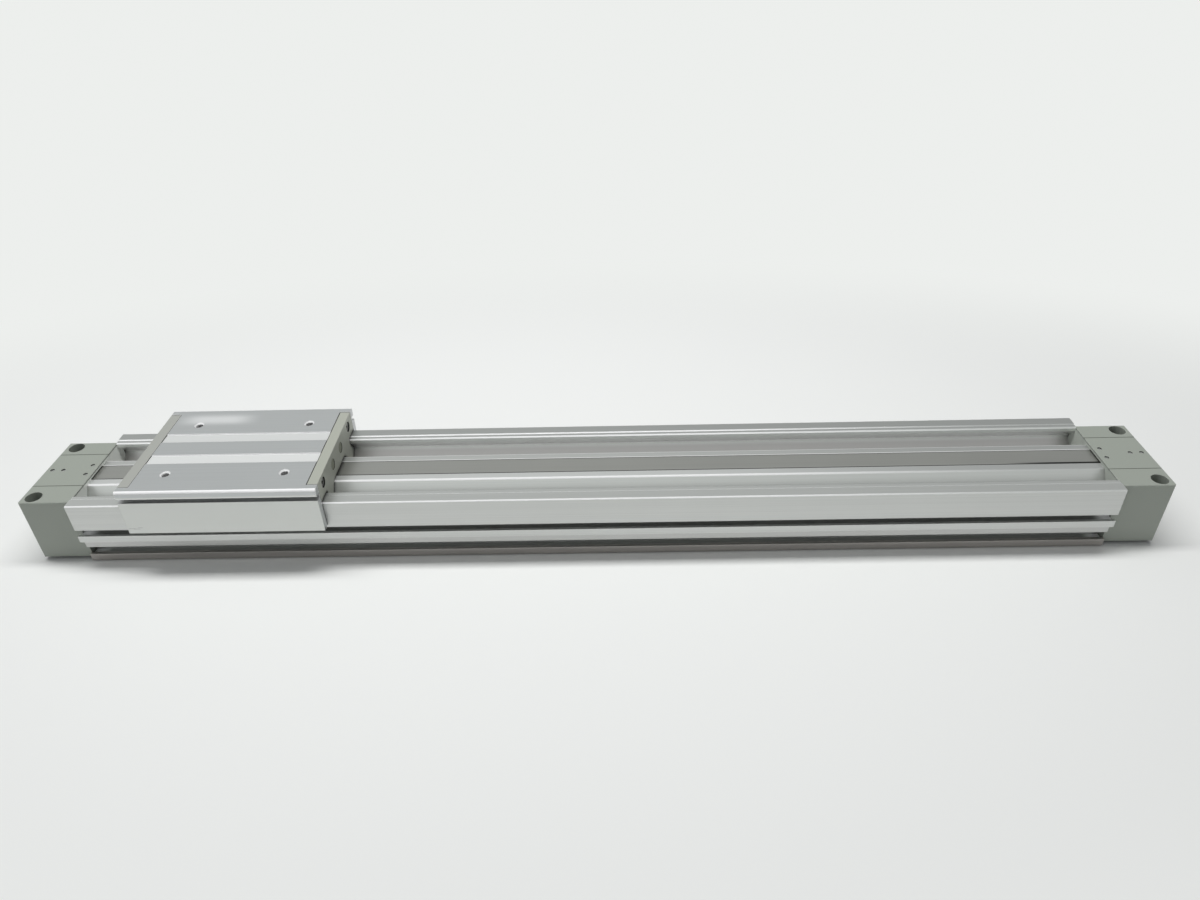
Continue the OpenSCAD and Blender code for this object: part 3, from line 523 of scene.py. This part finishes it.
# A small dent at the rear left, drawn as a dark dash of painted shade with a
# painted highlight beside it, and a short scratch low on the skirt.
for mark_x, mark_y, mark_z, reach_x, shade in [
        (0.0038, 0.0444, plate_top, 0.0014, 0.12), (0.0030, 0.0456, plate_top, 0.0014, 0.95),
        (0.0030, plate_front, 0.0365, 0.0016, 0.46), (0.0062, plate_front, 0.0361, 0.0016, 0.42),
        (0.0088, plate_front, 0.0372, 0.0010, 0.46)]:
    patch_over(plate_metal, (shade, shade, shade), (plate_left + mark_x, mark_y, mark_z),
               (reach_x, 0.0003, 0.0001), (0.0012, 0.0003, 0.0003), 0.8)
# The threaded holes are painted lighter inside, painted light in the hollows,
# and near white at the rim, a painted highlight.
middle_x, hole_y, hole_half = (plate_low.x + plate_high.x) / 2, 0.030, 0.0035
for hole_x in (middle_x - 0.040, middle_x + 0.040):
    for shade, depth, tall in [(0.55, 0.0070, 0.0056), (0.95, 0.0008, 0.0005)]:
        patch_over(plate_metal, (shade, shade, shade), (hole_x, hole_y, plate_top - depth),
                   (hole_half, hole_half, tall), (0.0003, 0.0003, 0.0003), 1.0, (0, 1, 0), 0.3)
dress(plate_metal, "carriage_plate")

# End plates and round plugs: machined plates with a warm grey coat, screwed to
# each end of the carriage over the wipers. The right one's joints show dark.
plate_edge = (0.62, 0.62, 0.58)
warm_grey = coated_finish("warm_grey_plate", (0.415, 0.424, 0.393), plate_edge, 0.5, 0.2,
                          Speckle=0.08)
dress(warm_grey, "end_plate_left")
joined_plate = coated_finish("joined_grey_plate", (0.445, 0.46, 0.402), plate_edge, 0.5, 0.2,
                             Speckle=0.08)
low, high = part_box("end_plate_right")
middle_y, half_wide = (low.y + high.y) / 2, (high.y - low.y) / 2
patch_over(joined_plate, near_black, (low.x, middle_y, high.z), (0.0003, half_wide, 0.001),
           (0.0002, 0.001, 0.0003), 0.9)
patch_over(joined_plate, near_black, (low.x, high.y, high.z),
           (high.x - low.x, 0.0003, 0.001), (0.001, 0.0002, 0.0003), 0.9)
# Painted shade: the right plate darkens to near black where other parts close in on it.
tree, seam_depth = joined_plate.node_tree, 0.0035
plate_colour = tree.nodes["Principled BSDF"].inputs["Base Color"]
shaded_at_seams = shade_hollows(tree, plate_colour.links[0].from_socket, seam_depth, 0.03,
                       closed=0.68, opened=0.92)
tree.links.new(shaded_at_seams, plate_colour)
dress(joined_plate, "end_plate_right")
plug_olive = coated_finish("plug_olive", (0.27, 0.28, 0.22), (0.34, 0.35, 0.28), 0.5, 0.2,
                           Speckle=0.08)
dress(plug_olive, "end_plate_plugs")

# Rubber: wipers, seals, buffers and rings, moulded black with a dull skin. They
# sit in their own grooves and seats, the wipers between carriage and end plates.
rubber = coated_finish("black_rubber", (0.018, 0.018, 0.018), (0.04, 0.04, 0.04), 0.7,
                       Peel=900.0, Speckle=0.3, Corner=0.0002)
dress(rubber, "wiper_left", "wiper_right", "cap_o_rings", "end_buffers", "piston_seals",
      "cushion_seals")

# Cushion spigots and needles: turned brass with fine tool rings. A spigot stands
# in each cap's plug inside the bore, and a needle is screwed into each cap's end.
brass = worked_finish("turned_brass", (0.62, 0.47, 0.20), (0.85, 0.72, 0.4), 1.0,
                      Across=700.0, Along=1800.0, Streaks=0.16, Clouds=0.08, Rough=0.3)
dress(brass, "cushion_spigot_left", "cushion_spigot_right", "cushion_needle_left",
      "cushion_needle_right")

# Bearing plastics and magnet: cream slide pads and rings, black band guides,
# and the dark bonded magnet.
pad_cream = coated_finish("pad_cream", (0.68, 0.66, 0.58), (0.75, 0.73, 0.66), 0.45)
dress(pad_cream, "slide_pads_front", "slide_pads_rear", "wear_rings")
guide_black = coated_finish("guide_black", (0.03, 0.03, 0.033), (0.08, 0.08, 0.08), 0.45)
dress(guide_black, "band_guides")
magnet_dark = coated_finish("magnet_dark", (0.05, 0.05, 0.055), (0.1, 0.1, 0.1), 0.5, 0.4)
dress(magnet_dark, "magnet_ring")

# Yoke and piston heads: machined aluminium, left bright. The yoke joins the
# carriage to the piston through the slot.
machined = worked_finish("machined_aluminium", (0.66, 0.67, 0.67), (0.9, 0.9, 0.9), 0.95,
                         Across=900.0, Along=900.0, Streaks=0.1, Rough=0.28)
dress(machined, "drive_yoke", "piston_head_left", "piston_head_right")
